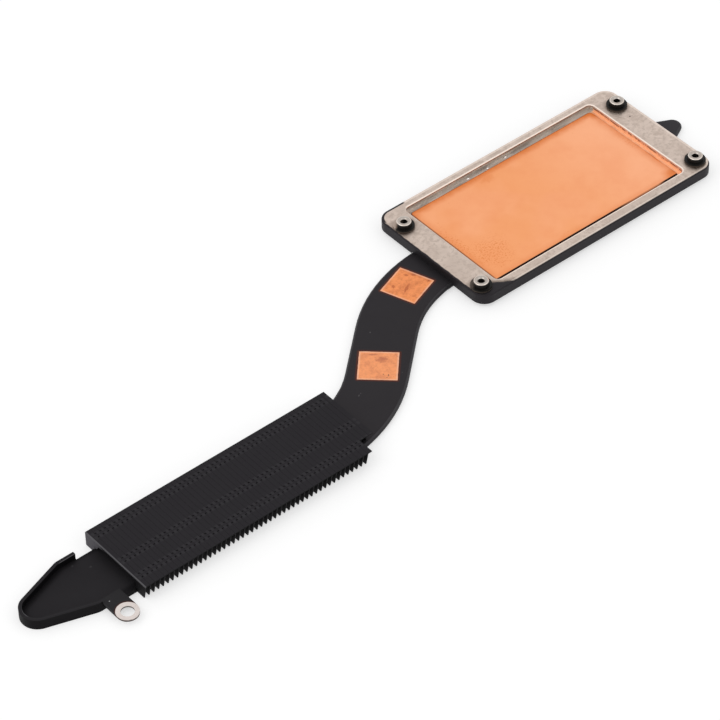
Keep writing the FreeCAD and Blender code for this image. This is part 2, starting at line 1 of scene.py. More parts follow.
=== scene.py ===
"""Finishes and stage of a laptop heatsink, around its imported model.

Metres, in the model's own frame: the origin is the middle of the cold plate's contact face, +X runs along the
heatsink to the pipe's nose and +Z points out of the contact face.
"""
import json
import math

import bpy
import numpy as np
from bpy.props import FloatProperty, FloatVectorProperty, PointerProperty
from mathutils import Matrix, Vector


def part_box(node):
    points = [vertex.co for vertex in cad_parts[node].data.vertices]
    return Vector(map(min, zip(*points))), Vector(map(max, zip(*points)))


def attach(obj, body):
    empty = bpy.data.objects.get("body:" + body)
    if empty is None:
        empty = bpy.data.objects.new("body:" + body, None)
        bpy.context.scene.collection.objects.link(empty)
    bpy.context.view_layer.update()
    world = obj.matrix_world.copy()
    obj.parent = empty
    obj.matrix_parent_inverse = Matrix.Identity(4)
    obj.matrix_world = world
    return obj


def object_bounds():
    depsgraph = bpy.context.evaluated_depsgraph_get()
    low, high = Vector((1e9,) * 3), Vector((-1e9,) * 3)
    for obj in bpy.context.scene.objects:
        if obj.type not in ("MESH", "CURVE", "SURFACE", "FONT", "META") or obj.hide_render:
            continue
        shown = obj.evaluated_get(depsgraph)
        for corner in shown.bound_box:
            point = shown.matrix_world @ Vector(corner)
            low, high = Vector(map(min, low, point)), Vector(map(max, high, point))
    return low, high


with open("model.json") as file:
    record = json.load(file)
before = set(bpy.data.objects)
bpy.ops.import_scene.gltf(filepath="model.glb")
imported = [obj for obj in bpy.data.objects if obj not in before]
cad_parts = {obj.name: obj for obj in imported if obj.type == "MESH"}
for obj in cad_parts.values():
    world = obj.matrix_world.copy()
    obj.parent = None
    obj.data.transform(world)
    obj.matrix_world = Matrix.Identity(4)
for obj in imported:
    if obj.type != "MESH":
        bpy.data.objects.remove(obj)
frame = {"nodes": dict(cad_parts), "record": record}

bl_info = {
    "name": "Laptop heatsink",
    "version": (1, 0, 0),
    "blender": (4, 5, 0),
    "location": "3D View > Sidebar > Heatsink",
    "description": "Finishes a heatsink with a flat heat pipe, a copper cold plate and a stack of fins",
    "category": "Object",
}

CAD_BOX = [list(corner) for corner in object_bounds()]
MM = 0.001
PIPE_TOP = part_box("heat_pipe")[1].z
PLATE_LOW, PLATE_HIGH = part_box("cold_plate")
FRAME_LOW, FRAME_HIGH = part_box("clamp_frame")
POST_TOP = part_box("threaded_posts")[1].z
TAB_LOW, TAB_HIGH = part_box("screw_tab")
TRAY_LOW, TRAY_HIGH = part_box("tail_tray")
FIN_NODES = sorted(name for name in frame["nodes"] if name.startswith("fin_"))
FIRST_FIN_LOW, FIRST_FIN_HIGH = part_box(FIN_NODES[0])
MOUNTS = {mount["name"]: mount for mount in frame["record"]["mounts"]}

# Sizes of the model's pieces that their boxes don't tell.
PLATE_CORNER = 0.8 * MM
WINDOW_GAP = Vector((0.70, 0.85, 0)) * MM
WINDOW_HALF = PLATE_HIGH + WINDOW_GAP
WINDOW_CORNER = 1.1 * MM
LEDGE = PLATE_LOW.z + 0.4 * MM
FRAME_MIDDLE = (FRAME_LOW + FRAME_HIGH) / 2
FRAME_HALF = (FRAME_HIGH - FRAME_LOW) / 2
FRAME_CORNER = 2.8 * MM
POST_MIDDLE = Vector(MOUNTS["post_screws"]["pos_m"])
POST_HALF = [MOUNTS["post_screws"]["dims"][key] / 2 * MM for key in ("spacing_x_mm", "spacing_y_mm")]
TAB_HOLE = Vector(MOUNTS["tab_screw"]["pos_m"])
TAB_HALF = (TAB_HIGH.x - TAB_LOW.x) / 2
FIN_DEPTH = FIRST_FIN_HIGH.y - FIRST_FIN_LOW.y
FIN_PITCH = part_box(FIN_NODES[1])[0].x - FIRST_FIN_LOW.x
HOOK_SHARES = (0.113, 0.558, 0.835)   # rows of tongues, as shares of the fins' depth from the rear
TRAY_TIP_RADIUS = 3.4 * MM
TRAY_TIP = Vector((TRAY_LOW.x + TRAY_TIP_RADIUS, (TRAY_LOW.y + TRAY_HIGH.y) / 2, TRAY_LOW.z))
TRAY_HALF = (TRAY_HIGH.y - TRAY_LOW.y) / 2
TRAY_TAPER = 18.6                     # degrees, each side
TRAY_RIM = 0.65 * MM
FIELD_CORNER = 0.1 * MM               # of the pipe's bare fields

# The bent corner of the first fin's recess: where it starts, and its own sizes.
FIN_RECESS_SIDE = -18.23 * MM
FIN_RECESS_TOP = 0.60 * MM
FLAP_REACH = 1.25 * MM
FLAP_DROP = 1.34 * MM
FLAP_LEAN = 0.06 * MM
FLAP_SHEET = 0.14 * MM
FLAP_END = 0.94                       # share of the reach where it is cut off
FLAP_GRID = (7, 5)

# Solder beads: x and y in millimetres and a size, and the beads' shape as shares of their radius.
BEADS = ((-8.11, 13.10, 1.15), (-3.21, 12.95, 0.95), (1.60, 13.22, 1.0))
BEAD_SHAPE = (1.3, 1.0, 0.8)
BEAD_RISE = 0.25

# Specular levels of the finishes, and the tint of the paint's reflections.
PIPE_GLOSS = 0.23
FRAME_GLOSS = 0.25
POST_GLOSS = 0.25
FIN_GLOSS = 0.10
TRAY_GLOSS = 0.08
TAB_GLOSS = 0.12
PAINT_SHEEN = (1.0, 0.90, 1.0, 1.0)

# Stage: the floor below the object, the lamps' places and sides, and where they point.
FLOOR_GAP = 0.05 * MM
KEY_LAMP = ((-0.75, 0.10, 0.75), 0.7)
FILL_LAMP = ((0.25, -0.80, 0.55), 0.6)
LAMP_TARGET = (-0.05, -0.01, 0.0)

# Marks of handling: x, y and the two radii in millimetres, and a turn in degrees.
PIPE_SCUFFS = ((-62.2, -19.0, 0.40, 0.14, 35), (-61.6, -18.8, 0.25, 0.10, 60), (-49.9, -7.45, 0.22, 0.20, 0))
FIELD_SMUDGES = (
    (-33.5, -0.6, 1.0, 0.6, -70), (-36.9, -2.6, 2.3, 0.5, 28), (-38.6, -0.7, 0.7, 0.5, 40),
    (-34.7, 0.2, 0.7, 0.4, -70), (-32.5, -3.7, 0.5, 0.4, 0), (-52.9, -14.5, 1.6, 1.2, -43),
    (-53.3, -12.4, 1.5, 0.35, -43))
FIELD_SPECKS = (
    (-55.27, -17.63, 0.18, 0.16, 0), (-54.7, -18.4, 0.40, 0.18, 45), (-55.3, -18.7, 0.22, 0.12, 0))
PLATE_SPECKLES = ((-18.8, -6.0, 6.5, 5.6, 0), (-22.4, -1.0, 2.2, 10.0, 0), (23.0, 2.0, 1.5, 11.0, 0))
PLATE_WARMTH = ((23.2, -12.4, 4.6, 3.4, 0), (23.4, -6.0, 1.0, 5.0, 0))
PLATE_TINGE = (
    (-5.4, 10.8, 2.5, 1.7, 0), (-22.4, 11.2, 1.4, 1.0, 0), (-17.6, 11.7, 1.7, 0.7, 0),
    (-10.0, 11.9, 1.8, 0.7, 0))
FRAME_PITS = ((27.2, 5.4, 0.24, 0.2, 0),)
TRAY_DUST = ((-124.2, -21.1, 0.35, 0.30, 0), (-126.5, -18.9, 0.30, 0.25, 0))
TAB_DOTS = ((-126.8, -30.0, 0.16, 0.16, 0),)


def colour(label, words, value):
    """A colour that a user may change, in linear light."""
    return FloatVectorProperty(
        name=label, description=words, subtype="COLOR", size=4, min=0, max=1, default=(*value, 1))


def number(label, words, value, **settings):
    """A number that a user may change."""
    return FloatProperty(name=label, description=words, default=value, **settings)


def length(label, words, value):
    """A length that a user may change."""
    return number(label, words, value, unit="LENGTH", precision=5, min=0)


def position(label, words, value, subtype="TRANSLATION"):
    """A place, or a direction, that a user may change."""
    return FloatVectorProperty(
        name=label, description=words, subtype=subtype, size=3, precision=5, default=value)


def angle(label, words, degrees):
    """A turn that a user may change."""
    return number(label, words, math.radians(degrees), subtype="ANGLE")


class HeatsinkFinish(bpy.types.PropertyGroup):
    """Colours of the heatsink's surfaces."""
    paint: colour("Black paint", "Matt paint of the pipe and the frame's sides", (0.0080, 0.0068, 0.0080))
    # Worn paint, and also painted highlights along the pipe's rounded edges and beside the fins' rows.
    worn_paint_and_highlight: colour("Worn paint", "Paint rubbed paler along edges and in scuffs", (0.070, 0.069, 0.073))
    dust: colour("Dust", "Flecks of dust and scuffs on the paint", (0.50, 0.50, 0.50))
    fin_paint: colour("Fin paint", "Black of the fins' tops", (0.0195, 0.0180, 0.0208))
    # Painted shade: the darker black of the fins' and the tray's walls, against their tops.
    painted_wall_shade: colour("Deep paint", "Black of the fins' and the tray's walls", (0.0030, 0.0029, 0.0033))
    # Painted light: the first fin's outer face is made pale as if lit.
    lit_fin_face: colour("End face", "Outer face of the first fin, rubbed pale", (0.125, 0.120, 0.133))
    # Painted highlight along the first fin's fold and along the tray rim's inner edge.
    fold_highlight: colour("Fold", "Line along the first fin's fold and the tray's rim", (0.135, 0.132, 0.140))
    tray_paint: colour("Tray paint", "Black of the tail tray and the screw tab", (0.0172, 0.0160, 0.0178))
    copper: colour("Copper", "Face of the cold plate", (0.905, 0.375, 0.163))
    # Partly a painted sheen, the plate growing paler towards the nose, and partly random clouds.
    pale_copper_and_sheen: colour("Pale copper", "Face of the cold plate towards the nose", (0.960, 0.450, 0.248))
    warm_copper: colour("Tarnished copper", "Tint near the plate's edges and marks", (0.76, 0.215, 0.055))
    copper_crust: colour("Copper crust", "Brown line along the cold plate's edges", (0.22, 0.075, 0.030))
    gap_shade: colour("Gap", "Dark of the gap round the cold plate and of pits", (0.012, 0.006, 0.004))
    field_copper: colour("Bare pipe", "Copper of the unpainted fields on the pipe", (0.90, 0.330, 0.125))
    field_stain: colour("Field stain", "Smudges on the unpainted fields", (0.50, 0.140, 0.058))
    field_line: colour("Field line", "Pale line along the sides of the unpainted fields", (0.96, 0.68, 0.52))
    field_border: colour("Field border", "Brown line where the paint ends", (0.085, 0.018, 0.008))
    steel: colour("Steel", "Bare top of the clamp frame", (0.645, 0.538, 0.466))
    steel_stain: colour("Steel stain", "Dull patches on the clamp frame", (0.430, 0.350, 0.295))
    # Painted shade round each post and under the window's rear edge; the same dark steel also gives dull
    # streaks, brown beside the creeping paint and the posts' feet.
    steel_stain_and_shade: colour("Steel shade", "Dull ring round each post", (0.200, 0.155, 0.125))
    # Painted highlights along the window's and the frame's edges and round the posts' turned ends; also pale
    # streaks on the rear wall and the pale steel of the nose wall.
    pale_steel_and_highlight: colour("Rubbed steel", "Bright line along the window's upper edge", (0.92, 0.81, 0.72))
    window_wall: colour("Window wall", "Steel of the window's rear wall", (0.58, 0.56, 0.49))
    window_side: colour("Window side", "Steel of the window's other walls", (0.66, 0.42, 0.30))
    window_ledge: colour("Window ledge", "Steel of the ledge round the cold plate", (0.68, 0.60, 0.54))
    flux_copper: colour("Flux copper", "Copper run up the window's wall at the nose", (1.0, 0.64, 0.43))
    post_steel: colour("Post steel", "Turned ends of the threaded posts", (0.46, 0.42, 0.385))
    # Also painted shade on the wall of the screw tab's hole.
    oxide_and_hole_shade: colour("Post oxide", "Blackened sides of the threaded posts", (0.010, 0.009, 0.008))
    tinned: colour("Tinned ring", "Bare ring round the screw hole", (0.80, 0.73, 0.70))
    solder: colour("Solder", "Small beads of solder on the ledge", (0.97, 0.95, 0.92))


class HeatsinkMarks(bpy.types.PropertyGroup):
    """Places and sizes of what is bare or soldered."""
    near_field: position(
        "Near field", "Middle of the bare field next to the frame", (-36.43 * MM, -2.15 * MM, PIPE_TOP))
    near_field_turn: angle("Near field's turn", "Turn of that field about the upright axis", 19.6)
    far_field: position(
        "Far field", "Middle of the bare field nearer the fins", (-54.54 * MM, -15.30 * MM, PIPE_TOP))
    far_field_turn: angle("Far field's turn", "Turn of that field about the upright axis", 46.9)
    field_length: length("Field length", "Bare fields along the pipe", 7.45 * MM)
    field_width: length("Field width", "Bare fields across the pipe", 7.42 * MM)
    bead_radius: length("Bead radius", "Solder beads on the ledge behind the cold plate", 0.25 * MM)


class HeatsinkStage(bpy.types.PropertyGroup):
    """Camera, floor and lamps."""
    camera_place: position("Camera", "Where the camera stands", (-352.38 * MM, -380.83 * MM, 445.94 * MM))
    camera_right: position(
        "Picture's right", "Direction of the picture's right side", (0.7681, -0.6401, -0.0191), "DIRECTION")
    camera_up: position(
        "Picture's top", "Direction of the picture's top", (0.4502, 0.5184, 0.7270), "DIRECTION")
    camera_lens: number("Lens", "Focal length of the camera", 178.12, unit="CAMERA")
    floor_size: length("Floor", "Side of the square floor", 4.0)
    floor_colour: colour("Floor colour", "Pale floor under the object", (0.66, 0.66, 0.66))
    floor_glow: number("Floor glow", "What makes the floor white where it is seen", 0.54)
    sky_light: number("Sky light", "Even light from all round", 0.62, min=0)
    key_power: number("Key lamp", "Soft lamp on the left", 1.4, min=0, unit="POWER")
    fill_power: number("Fill lamp", "Soft lamp in front", 0.5, min=0, unit="POWER")


class Wiring:
    """Adds nodes to one node tree and joins them up."""

    def __init__(self, tree):
        self.tree = tree

    def feed(self, socket, value):
        """Links a socket to another one, or gives it a fixed value."""
        if isinstance(value, bpy.types.NodeSocket):
            self.tree.links.new(value, socket)
        else:
            socket.default_value = value

    def fill(self, node, sockets):
        """Feeds a node's sockets, each given by its name or number."""
        for key, value in sockets.items():
            self.feed(node.inputs[key], value)

    def add(self, kind, sockets=None, **settings):
        """A new node, with its settings and what feeds its sockets."""
        node = self.tree.nodes.new(kind)
        for name, value in settings.items():
            setattr(node, name, value)
        self.fill(node, sockets or {})
        return node

    def math(self, operation, *values):
        return self.add("ShaderNodeMath", dict(enumerate(values)), operation=operation).outputs[0]

    def plus(self, first, second):
        return self.math("ADD", first, second)

    def minus(self, first, second):
        return self.math("SUBTRACT", first, second)

    def share(self, value, amount):
        """A mask or a measure times an amount."""
        return self.math("MULTIPLY", value, amount)

    def without(self, mask):
        """Where a mask doesn't hold."""
        return self.minus(1.0, mask)

    def ramp(self, value, low, high):
        """0 below low, 1 above high, and a smooth step between them. It falls where low is above high."""
        first, last = (1.0, 0.0) if low > high else (0.0, 1.0)
        sockets = {
            "Value": value, "From Min": min(low, high), "From Max": max(low, high), "To Min": first,
            "To Max": last}
        return self.add("ShaderNodeMapRange", sockets, interpolation_type="SMOOTHSTEP").outputs["Result"]

    def step(self, value, low, high, start=0.0):
        """As ramp, with the limits in millimetres from a starting value in metres."""
        return self.ramp(value, start + low * MM, start + high * MM)

    def most(self, *masks):
        """The strongest of several masks."""
        result = masks[0]
        for mask in masks[1:]:
            result = self.math("MAXIMUM", result, mask)
        return result

    def both(self, *masks):
        """Where all of several masks hold."""
        result = masks[0]
        for mask in masks[1:]:
            result = self.share(result, mask)
        return result

    def tint(self, factor, first, second, amount=None):
        """The first colour, turning into the second as the factor rises, or by an amount of the factor."""
        if amount is not None:
            factor = self.share(factor, amount)
        return self.add("ShaderNodeMix", {0: factor, 6: first, 7: second}, data_type="RGBA").outputs[2]

    def coats(self, tone, *coats):
        """A colour under several coats. Each is a mask, a colour and, where it isn't full, an amount."""
        for factor, *coat in coats:
            tone = self.tint(factor, tone, *coat)
        return tone

    def level(self, factor, low, high):
        """A number between low and high."""
        return self.add("ShaderNodeMix", {0: factor, 2: low, 3: high}, data_type="FLOAT").outputs[0]

    def distance(self, x, y):
        """Length of a flat vector."""
        return self.math("SQRT", self.plus(self.share(x, x), self.share(y, y)))

    def offset(self, value, middle, half):
        """How far a coordinate lies beyond two places, half to each side of a middle."""
        return self.minus(self.math("ABSOLUTE", self.minus(value, middle)), half)

    def signed_offset(self, value, middle, half):
        """The same with the sign of the side, so that it rises along the axis at both places."""
        return self.share(self.offset(value, middle, half), self.math("SIGN", self.minus(value, middle)))

    def noise(self, vector, scale, detail=2.0, rough=0.5):
        sockets = {"Vector": vector, "Scale": scale, "Detail": detail, "Roughness": rough}
        return self.add("ShaderNodeTexNoise", sockets).outputs["Fac"]

    def wander(self, vector, scale, detail=2.0, rough=0.5):
        """Noise about 0, which makes a line ragged."""
        return self.minus(self.noise(vector, scale, detail, rough), 0.5)

    def stray(self, value, wander, amount):
        """A measure that follows a wander, by an amount in millimetres."""
        return self.plus(value, self.share(wander, amount * MM))

    def split(self, vector):
        return self.add("ShaderNodeSeparateXYZ", {"Vector": vector}).outputs

    def placed(self, vector, place, turn=0.0, scale=(1, 1, 1)):
        """Coordinates measured from a place, turned about the upright axis and divided by a scale."""
        sockets = {"Vector": vector, "Location": place, "Rotation": (0, 0, turn), "Scale": scale}
        return self.add("ShaderNodeMapping", sockets, vector_type="TEXTURE").outputs["Vector"]

    def group(self, group, **sockets):
        """Places a node group. Its sockets' names are given in lower case with underscores."""
        node = self.add("ShaderNodeGroup", node_tree=group)
        self.fill(node, {key.replace("_", " ").capitalize(): value for key, value in sockets.items()})
        return node.outputs


def new_group(name, inputs, outputs):
    """An empty node group. Returns its wiring, its inputs' sockets and a function that sets an output."""
    tree = bpy.data.node_groups.new(name, "ShaderNodeTree")
    for in_out, sockets in (("INPUT", inputs), ("OUTPUT", outputs)):
        for label, kind in sockets.items():
            tree.interface.new_socket(label, in_out=in_out, socket_type=f"NodeSocket{kind}")
    wiring = Wiring(tree)
    entry = wiring.add("NodeGroupInput")
    leave = wiring.add("NodeGroupOutput")
    return wiring, entry.outputs, lambda label, value: wiring.feed(leave.inputs[label], value)


def make_paint_skin():
    """Sprayed paint: a fine pebbled height, patches that differ in gloss, and pale flecks of dust."""
    wiring, given, put = new_group(
        "paint_skin", {"Vector": "Vector", "Grain": "Float"},
        {"Height": "Float", "Patch": "Float", "Dust": "Float"})
    put("Height", wiring.noise(given["Vector"], given["Grain"], 2.0, 0.6))
    put("Patch", wiring.noise(given["Vector"], 160.0, 3.0, 0.6))
    cells = wiring.add("ShaderNodeTexVoronoi", {"Vector": given["Vector"], "Scale": 420.0})
    chance = wiring.split(cells.outputs["Color"])[0]
    fleck = wiring.ramp(cells.outputs["Distance"], 0.075, 0.035)
    put("Dust", wiring.both(fleck, wiring.ramp(chance, 0.965, 0.97)))
    return wiring.tree


def make_metal_marks():
    """Bare metal: cloudy patches, fine scratches along the vector's first axis, and small dark specks."""
    wiring, given, put = new_group(
        "metal_marks", {"Vector": "Vector", "Clouds": "Float", "Scratches": "Float", "Specks": "Float"},
        {"Cloud": "Float", "Scratch": "Float", "Speck": "Float"})
    put("Cloud", wiring.ramp(wiring.noise(given["Vector"], given["Clouds"], 4.0, 0.62), 0.38, 0.70))
    along = wiring.placed(given["Vector"], (0, 0, 0), 0.0, (14, 1, 1))
    put("Scratch", wiring.ramp(wiring.noise(along, given["Scratches"], 3.0, 0.7), 0.60, 0.74))
    cells = wiring.add("ShaderNodeTexVoronoi", {"Vector": given["Vector"], "Scale": given["Specks"]})
    chance = wiring.split(cells.outputs["Color"])[1]
    dot = wiring.ramp(cells.outputs["Distance"], 0.24, 0.08)
    put("Speck", wiring.both(dot, wiring.ramp(chance, 0.86, 0.90)))
    return wiring.tree


def make_rounded_outline():
    """How far a point lies beyond a rectangle with round corners about the origin, below 0 inside it."""
    wiring, given, put = new_group(
        "rounded_outline",
        {"Vector": "Vector", "Half length": "Float", "Half width": "Float", "Corner": "Float"},
        {"Beyond": "Float"})
    x, y, z = wiring.split(given["Vector"])
    past_x = wiring.plus(wiring.minus(wiring.math("ABSOLUTE", x), given["Half length"]), given["Corner"])
    past_y = wiring.plus(wiring.minus(wiring.math("ABSOLUTE", y), given["Half width"]), given["Corner"])
    rounded = wiring.distance(wiring.most(past_x, 0.0), wiring.most(past_y, 0.0))
    straight = wiring.math("MINIMUM", wiring.most(past_x, past_y), 0.0)
    put("Beyond", wiring.minus(wiring.plus(rounded, straight), given["Corner"]))
    return wiring.tree


def make_blot():
    """A ragged spot about the vector's origin: 1 at its middle, and 0 beyond a radius of about 1."""
    wiring, given, put = new_group(
        "blot", {"Vector": "Vector", "Grain": "Float", "Ragged": "Float"}, {"Mask": "Float"})
    x, y, z = wiring.split(given["Vector"])
    wander = wiring.wander(given["Vector"], given["Grain"], 3.0, 0.6)
    reach = wiring.plus(wiring.distance(x, y), wiring.share(wander, given["Ragged"]))
    put("Mask", wiring.ramp(reach, 1.0, 0.25))
    return wiring.tree


def effect(name, maker):
    """One of the shared node groups, built when it is first asked for."""
    return bpy.data.node_groups.get(name) or maker()


def blots(wiring, where, places, grain=2.0, ragged=1.4):
    """Ragged spots. Each place is x, y and the two radii in millimetres, and a turn in degrees."""
    found = []
    for x, y, along, across, turn in places:
        local = wiring.placed(where, (x * MM, y * MM, 0), math.radians(turn), (along * MM, across * MM, 1))
        spot = wiring.group(effect("blot", make_blot), vector=local, grain=grain, ragged=ragged)
        found.append(spot["Mask"])
    return wiring.most(*found)


def worn_metal(wiring, where, clouds, scratches, specks):
    """Clouds, scratches and specks of bare metal, each with the scale of its pattern."""
    return wiring.group(
        effect("metal_marks", make_metal_marks), vector=where, clouds=clouds, scratches=scratches,
        specks=specks)


def beyond_outline(wiring, local, half, corner):
    """How far a point lies beyond a rectangle with round corners about the local origin."""
    return wiring.group(
        effect("rounded_outline", make_rounded_outline), vector=local, half_length=half[0],
        half_width=half[1], corner=corner)["Beyond"]


def from_nearest_post(wiring, x, y):
    """Distance from the axis of the nearest threaded post."""
    return wiring.distance(
        wiring.offset(x, POST_MIDDLE.x, POST_HALF[0]), wiring.offset(y, POST_MIDDLE.y, POST_HALF[1]))


def facing_up(wiring):
    """1 on what faces up, and 0 on walls and undersides."""
    return wiring.ramp(wiring.split(wiring.add("ShaderNodeNewGeometry").outputs["Normal"])[2], 0.55, 0.9)


def bump(wiring, height, strength, depth):
    """A normal from a height, whose depth is in millimetres."""
    sockets = {"Height": height, "Strength": strength, "Distance": depth * MM}
    return wiring.add("ShaderNodeBump", sockets).outputs["Normal"]


def painted(wiring, where, base, finish, grain=2600.0, gloss=(0.46, 0.60)):
    """Sprayed black paint with dust. Returns the sockets that feed colour, roughness and normal, so that a
    material with bare places can blend them."""
    skin = wiring.group(effect("paint_skin", make_paint_skin), vector=where, grain=grain)
    tone = wiring.coats(base, (skin["Patch"], finish.worn_paint_and_highlight, 0.16), (skin["Dust"], finish.dust, 0.12))
    return tone, wiring.level(skin["Patch"], *gloss), bump(wiring, skin["Height"], 0.25, 0.02)


def blank_tree(owner):
    """Empties the node tree of a material or a world. Returns its wiring."""
    owner.use_nodes = True
    owner.node_tree.nodes.clear()
    return Wiring(owner.node_tree)


def new_material(name):
    """A material with a Principled shader. Returns it, its wiring, shader and object coordinates."""
    material = bpy.data.materials.new(name)
    wiring = blank_tree(material)
    shader = wiring.add("ShaderNodeBsdfPrincipled")
    wiring.add("ShaderNodeOutputMaterial", {"Surface": shader.outputs[0]})
    return material, wiring, shader, wiring.add("ShaderNodeTexCoord").outputs["Object"]


def dress(node, material):
    """Gives a node of the model its finish."""
    slots = frame["nodes"][node].material_slots
    for slot in slots:
        slot.material = material
    if not slots:
        frame["nodes"][node].data.materials.append(material)


def add_piece(context, name, points, faces, material):
    """A new object at the origin, with its place in its mesh."""
    mesh = bpy.data.meshes.new(name)
    mesh.from_pydata(points, [], faces)
    mesh.materials.append(material)
    piece = bpy.data.objects.new(name, mesh)
    context.scene.collection.objects.link(piece)
    return piece


def thick_sheet(outer, inner):
    """Closes two grids of points, the outer and inner face of a sheet, into one mesh: a quad for each cell
    of both, and a quad between them along each cell of the border. Returns vertices and faces."""
    rows, columns = outer.shape[:2]
    number = np.arange(rows * columns).reshape(rows, columns)
    cells = np.stack([number[:-1, :-1], number[:-1, 1:], number[1:, 1:], number[1:, :-1]], -1).reshape(-1, 4)
    border = np.concatenate([number[0, :-1], number[:-1, -1], number[-1, :0:-1], number[:0:-1, 0]])
    following = np.roll(border, -1)
    back = number.size
    sides = np.stack([border, following, following + back, border + back], -1)
    faces = np.concatenate([cells[:, ::-1], cells + back, sides])
    return np.concatenate([outer.reshape(-1, 3), inner.reshape(-1, 3)]), faces.tolist()


def egg(turns=12, rings=6):
    """A closed egg of radius 1: ring j at the angle pi*j/rings from the top has the radius sin of it and the
    height cos of it. Returns vertices, and the faces of the top, the sides and the bottom."""
    tilt = np.linspace(0, math.pi, rings + 1)[1:-1, None]
    around = np.linspace(0, 2 * math.pi, turns, endpoint=False)[None, :]
    grid = np.stack(
        np.broadcast_arrays(np.sin(tilt) * np.cos(around), np.sin(tilt) * np.sin(around), np.cos(tilt)), -1)
    points = np.concatenate([[[0, 0, 1.0]], grid.reshape(-1, 3), [[0, 0, -1.0]]])
    column = np.arange(turns)
    following = np.roll(column, -1)
    first = 1 + turns * np.arange(rings - 1)[:, None]
    above, below = first[:-1], first[1:]
    top = np.stack([np.zeros_like(column), 1 + column, 1 + following], -1)
    sides = np.stack([above + column, below + column, below + following, above + following], -1)
    bottom = np.stack([np.full_like(column, len(points) - 1), first[-1] + following, first[-1] + column], -1)
    return points, (top, sides.reshape(-1, 4), bottom)


class HEATSINK_OT_heat_pipe(bpy.types.Operator):
    """Paints the heat pipe black, with two bare copper fields on its upper face"""
    bl_idname = "heatsink.heat_pipe"
    bl_label = "Finish the heat pipe"

    def execute(self, context):
        finish, marks = context.scene.heatsink_finish, context.scene.heatsink_marks
        material, wiring, shader, where = new_material("pipe_paint")
        tone, rough, normal = painted(wiring, where, finish.paint, finish)
        x, y, z = wiring.split(where)
        height = wiring.minus(z, PIPE_TOP)
        upper = wiring.step(height, -0.2, -0.1)
        # Painted highlight: a pale line along the pipe's rounded edges; the pipe is also a little paler at
        # its nose.
        edge = wiring.both(
            wiring.step(height, -0.42, -0.20), wiring.step(height, -0.01, -0.06),
            wiring.level(wiring.noise(where, 420.0, 3.0), 0.25, 1.0))
        nose = wiring.step(x, 29, 30)
        pale = wiring.most(wiring.share(edge, 0.85), wiring.share(nose, 0.22))
        scuffs = wiring.both(blots(wiring, where, PIPE_SCUFFS), upper)
        tone = wiring.coats(tone, (pale, finish.worn_paint_and_highlight), (scuffs, finish.dust, 0.14))

        # The two fields: what is bare, a pale line along its sides, and a brown line where the paint ends.
        bare, outline, surround = 0.0, 0.0, 0.0
        half = (marks.field_length / 2, marks.field_width / 2)
        fields = ((marks.near_field, marks.near_field_turn), (marks.far_field, marks.far_field_turn))
        for place, turn in fields:
            local = wiring.placed(where, place, turn)
            beyond = beyond_outline(wiring, local, half, FIELD_CORNER)
            beyond = wiring.stray(beyond, wiring.wander(local, 1500.0), 0.12)
            bare = wiring.most(wiring.step(beyond, 0.03, -0.03), bare)
            pale_line = wiring.both(wiring.step(beyond, -0.40, -0.20), wiring.step(beyond, 0.4, 0.3))
            outline = wiring.most(pale_line, outline)
            surround = wiring.most(wiring.step(beyond, 0.52, 0.20), surround)
        bare = wiring.both(bare, upper)
        tone = wiring.tint(wiring.both(wiring.share(surround, 0.9), upper), tone, finish.field_border)

        worn = worn_metal(wiring, where, 620.0, 900.0, 1300.0)
        grit = wiring.ramp(wiring.noise(where, 2000.0, 3.0, 0.7), 0.48, 0.62)
        stain = wiring.most(
            wiring.share(worn["Cloud"], 0.42), wiring.share(worn["Speck"], 0.4),
            wiring.share(blots(wiring, where, FIELD_SMUDGES), 0.85))
        stain = wiring.plus(stain, wiring.share(grit, 0.22))
        pale = wiring.both(outline, wiring.level(wiring.noise(where, 500.0), 0.1, 1.0))
        far_side = wiring.step(x, -44, -47)
        copper = wiring.coats(
            finish.field_copper, (stain, finish.field_stain),
            (blots(wiring, where, FIELD_SPECKS), finish.field_border, 0.85), (pale, finish.field_line, 0.55),
            (far_side, finish.field_line, 0.09))
        wiring.fill(shader, {
            "Base Color": wiring.tint(bare, tone, copper), "Roughness": wiring.level(bare, rough, 0.42),
            "Metallic": bare, "Normal": normal,
            "Specular IOR Level": PIPE_GLOSS, "Specular Tint": PAINT_SHEEN})
        dress("heat_pipe", material)
        return {"FINISHED"}


